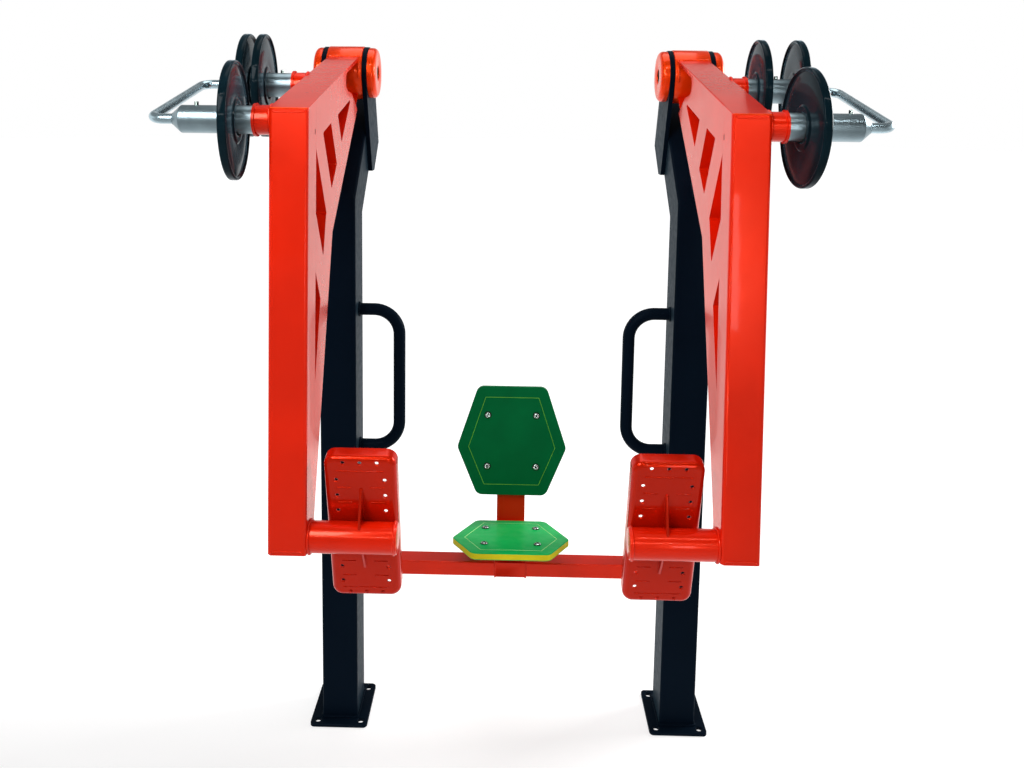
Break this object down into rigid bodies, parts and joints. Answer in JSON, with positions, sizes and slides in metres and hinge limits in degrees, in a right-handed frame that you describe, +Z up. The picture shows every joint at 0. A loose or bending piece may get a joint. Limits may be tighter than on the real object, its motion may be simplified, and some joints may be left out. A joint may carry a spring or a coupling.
{
  "type": "outdoor leg extension machine",
  "caption": "Outdoor leg press machine: hexagonal green seat between two dark posts, red latticed arms with pedals, silver sleeves and black weight plates.",
  "frame": {"origin": "on the ground, under the middle of the whole machine", "axes": "+X across the machine to the right seen from the pedals, +Y from the pedals back to the posts and the seat, +Z up"},
  "size_m": [1.6014, 0.9406, 1.9358],
  "materials": {
    "red_paint": "gloss",
    "dark_paint": "gloss",
    "black_enamel": "gloss enamel",
    "silver_steel": "satin zinc",
    "stainless": "satin",
    "bronze": "machined",
    "green_board": "fine grain",
    "black_rubber": "matt"
  },
  "bodies": {
    "frame": {"seat_support": "red_paint", "seat_board": "green_board", "backrest_board": "green_board", "seat_bolt_front_left": "stainless", "seat_bolt_front_right": "stainless", "seat_bolt_rear_left": "stainless", "seat_bolt_rear_right": "stainless", "backrest_bolt_lower_left": "stainless", "backrest_bolt_lower_right": "stainless", "backrest_bolt_upper_left": "stainless", "backrest_bolt_upper_right": "stainless", "left_base_plate": "dark_paint", "left_post": "dark_paint", "left_arm_stop_buffer": "black_rubber", "left_inner_pivot_cheek": "dark_paint", "left_outer_pivot_cheek": "dark_paint", "left_inner_hub_cap": "red_paint", "left_outer_hub_cap": "red_paint", "left_pivot_shaft": "silver_steel", "left_grab_handle": "dark_paint", "left_crossbeam": "red_paint", "right_base_plate": "dark_paint", "right_post": "dark_paint", "right_arm_stop_buffer": "black_rubber", "right_inner_pivot_cheek": "dark_paint", "right_outer_pivot_cheek": "dark_paint", "right_inner_hub_cap": "red_paint", "right_outer_hub_cap": "red_paint", "right_pivot_shaft": "silver_steel", "right_grab_handle": "dark_paint", "right_crossbeam": "red_paint"},
    "left_arm": {"left_hub_drum": "red_paint", "left_pivot_bush": "bronze", "left_arm_front_tube": "red_paint", "left_arm_lattice": "red_paint", "left_foot_tube": "red_paint", "left_pedal_tray": "red_paint", "left_front_weight_sleeve": "silver_steel", "left_rear_weight_sleeve": "silver_steel", "left_tie_bar": "silver_steel"},
    "right_arm": {"right_hub_drum": "red_paint", "right_pivot_bush": "bronze", "right_arm_front_tube": "red_paint", "right_arm_lattice": "red_paint", "right_foot_tube": "red_paint", "right_pedal_tray": "red_paint", "right_front_weight_sleeve": "silver_steel", "right_rear_weight_sleeve": "silver_steel", "right_tie_bar": "silver_steel"},
    "left_front_weight_plate": {"left_front_weight_plate": "black_enamel"},
    "left_rear_inner_weight_plate": {"left_rear_inner_weight_plate": "black_enamel"},
    "left_rear_outer_weight_plate": {"left_rear_outer_weight_plate": "black_enamel"},
    "right_front_weight_plate": {"right_front_weight_plate": "black_enamel"},
    "right_rear_inner_weight_plate": {"right_rear_inner_weight_plate": "black_enamel"},
    "right_rear_outer_weight_plate": {"right_rear_outer_weight_plate": "black_enamel"},
    "left_front_lock_pin": {"left_front_lock_pin": "stainless"},
    "left_rear_lock_pin": {"left_rear_lock_pin": "stainless"},
    "right_front_lock_pin": {"right_front_lock_pin": "stainless"},
    "right_rear_lock_pin": {"right_rear_lock_pin": "stainless"}
  },
  "joints": [
    {"name": "left_arm_hinge", "type": "hinge", "parent": "frame", "child": "left_arm", "pos_m": [-0.4827, 0.3049, 1.852], "axis": [-1, 0, 0], "range_deg": [0, 40]},
    {"name": "right_arm_hinge", "type": "hinge", "parent": "frame", "child": "right_arm", "pos_m": [0.4827, 0.3049, 1.852], "axis": [-1, 0, 0], "range_deg": [0, 40]},
    {"name": "left_front_weight_plate_slide", "type": "slide", "parent": "left_arm", "child": "left_front_weight_plate", "axis": [-1, 0, 0], "range_m": [-0.031, 0.062]},
    {"name": "left_rear_inner_weight_plate_slide", "type": "slide", "parent": "left_arm", "child": "left_rear_inner_weight_plate", "axis": [-1, 0, 0], "range_m": [-0.025, 0.01]},
    {"name": "left_rear_outer_weight_plate_slide", "type": "slide", "parent": "left_arm", "child": "left_rear_outer_weight_plate", "axis": [-1, 0, 0], "range_m": [-0.01, 0.033]},
    {"name": "right_front_weight_plate_slide", "type": "slide", "parent": "right_arm", "child": "right_front_weight_plate", "axis": [1, 0, 0], "range_m": [-0.028, 0.076]},
    {"name": "right_rear_inner_weight_plate_slide", "type": "slide", "parent": "right_arm", "child": "right_rear_inner_weight_plate", "axis": [1, 0, 0], "range_m": [-0.019, 0.025]},
    {"name": "right_rear_outer_weight_plate_slide", "type": "slide", "parent": "right_arm", "child": "right_rear_outer_weight_plate", "axis": [1, 0, 0], "range_m": [-0.029, 0.023]},
    {"name": "left_front_lock_pin_press", "type": "slide", "parent": "left_arm", "child": "left_front_lock_pin", "axis": [0, 0, -1], "range_m": [0, 0.008], "stiffness_N_per_m": 300, "springref_m": -0.003},
    {"name": "left_rear_lock_pin_press", "type": "slide", "parent": "left_arm", "child": "left_rear_lock_pin", "axis": [0, 0, -1], "range_m": [0, 0.008], "stiffness_N_per_m": 300, "springref_m": -0.003},
    {"name": "right_front_lock_pin_press", "type": "slide", "parent": "right_arm", "child": "right_front_lock_pin", "axis": [0, 0, -1], "range_m": [0, 0.008], "stiffness_N_per_m": 300, "springref_m": -0.003},
    {"name": "right_rear_lock_pin_press", "type": "slide", "parent": "right_arm", "child": "right_rear_lock_pin", "axis": [0, 0, -1], "range_m": [0, 0.008], "stiffness_N_per_m": 300, "springref_m": -0.003}
  ]
}
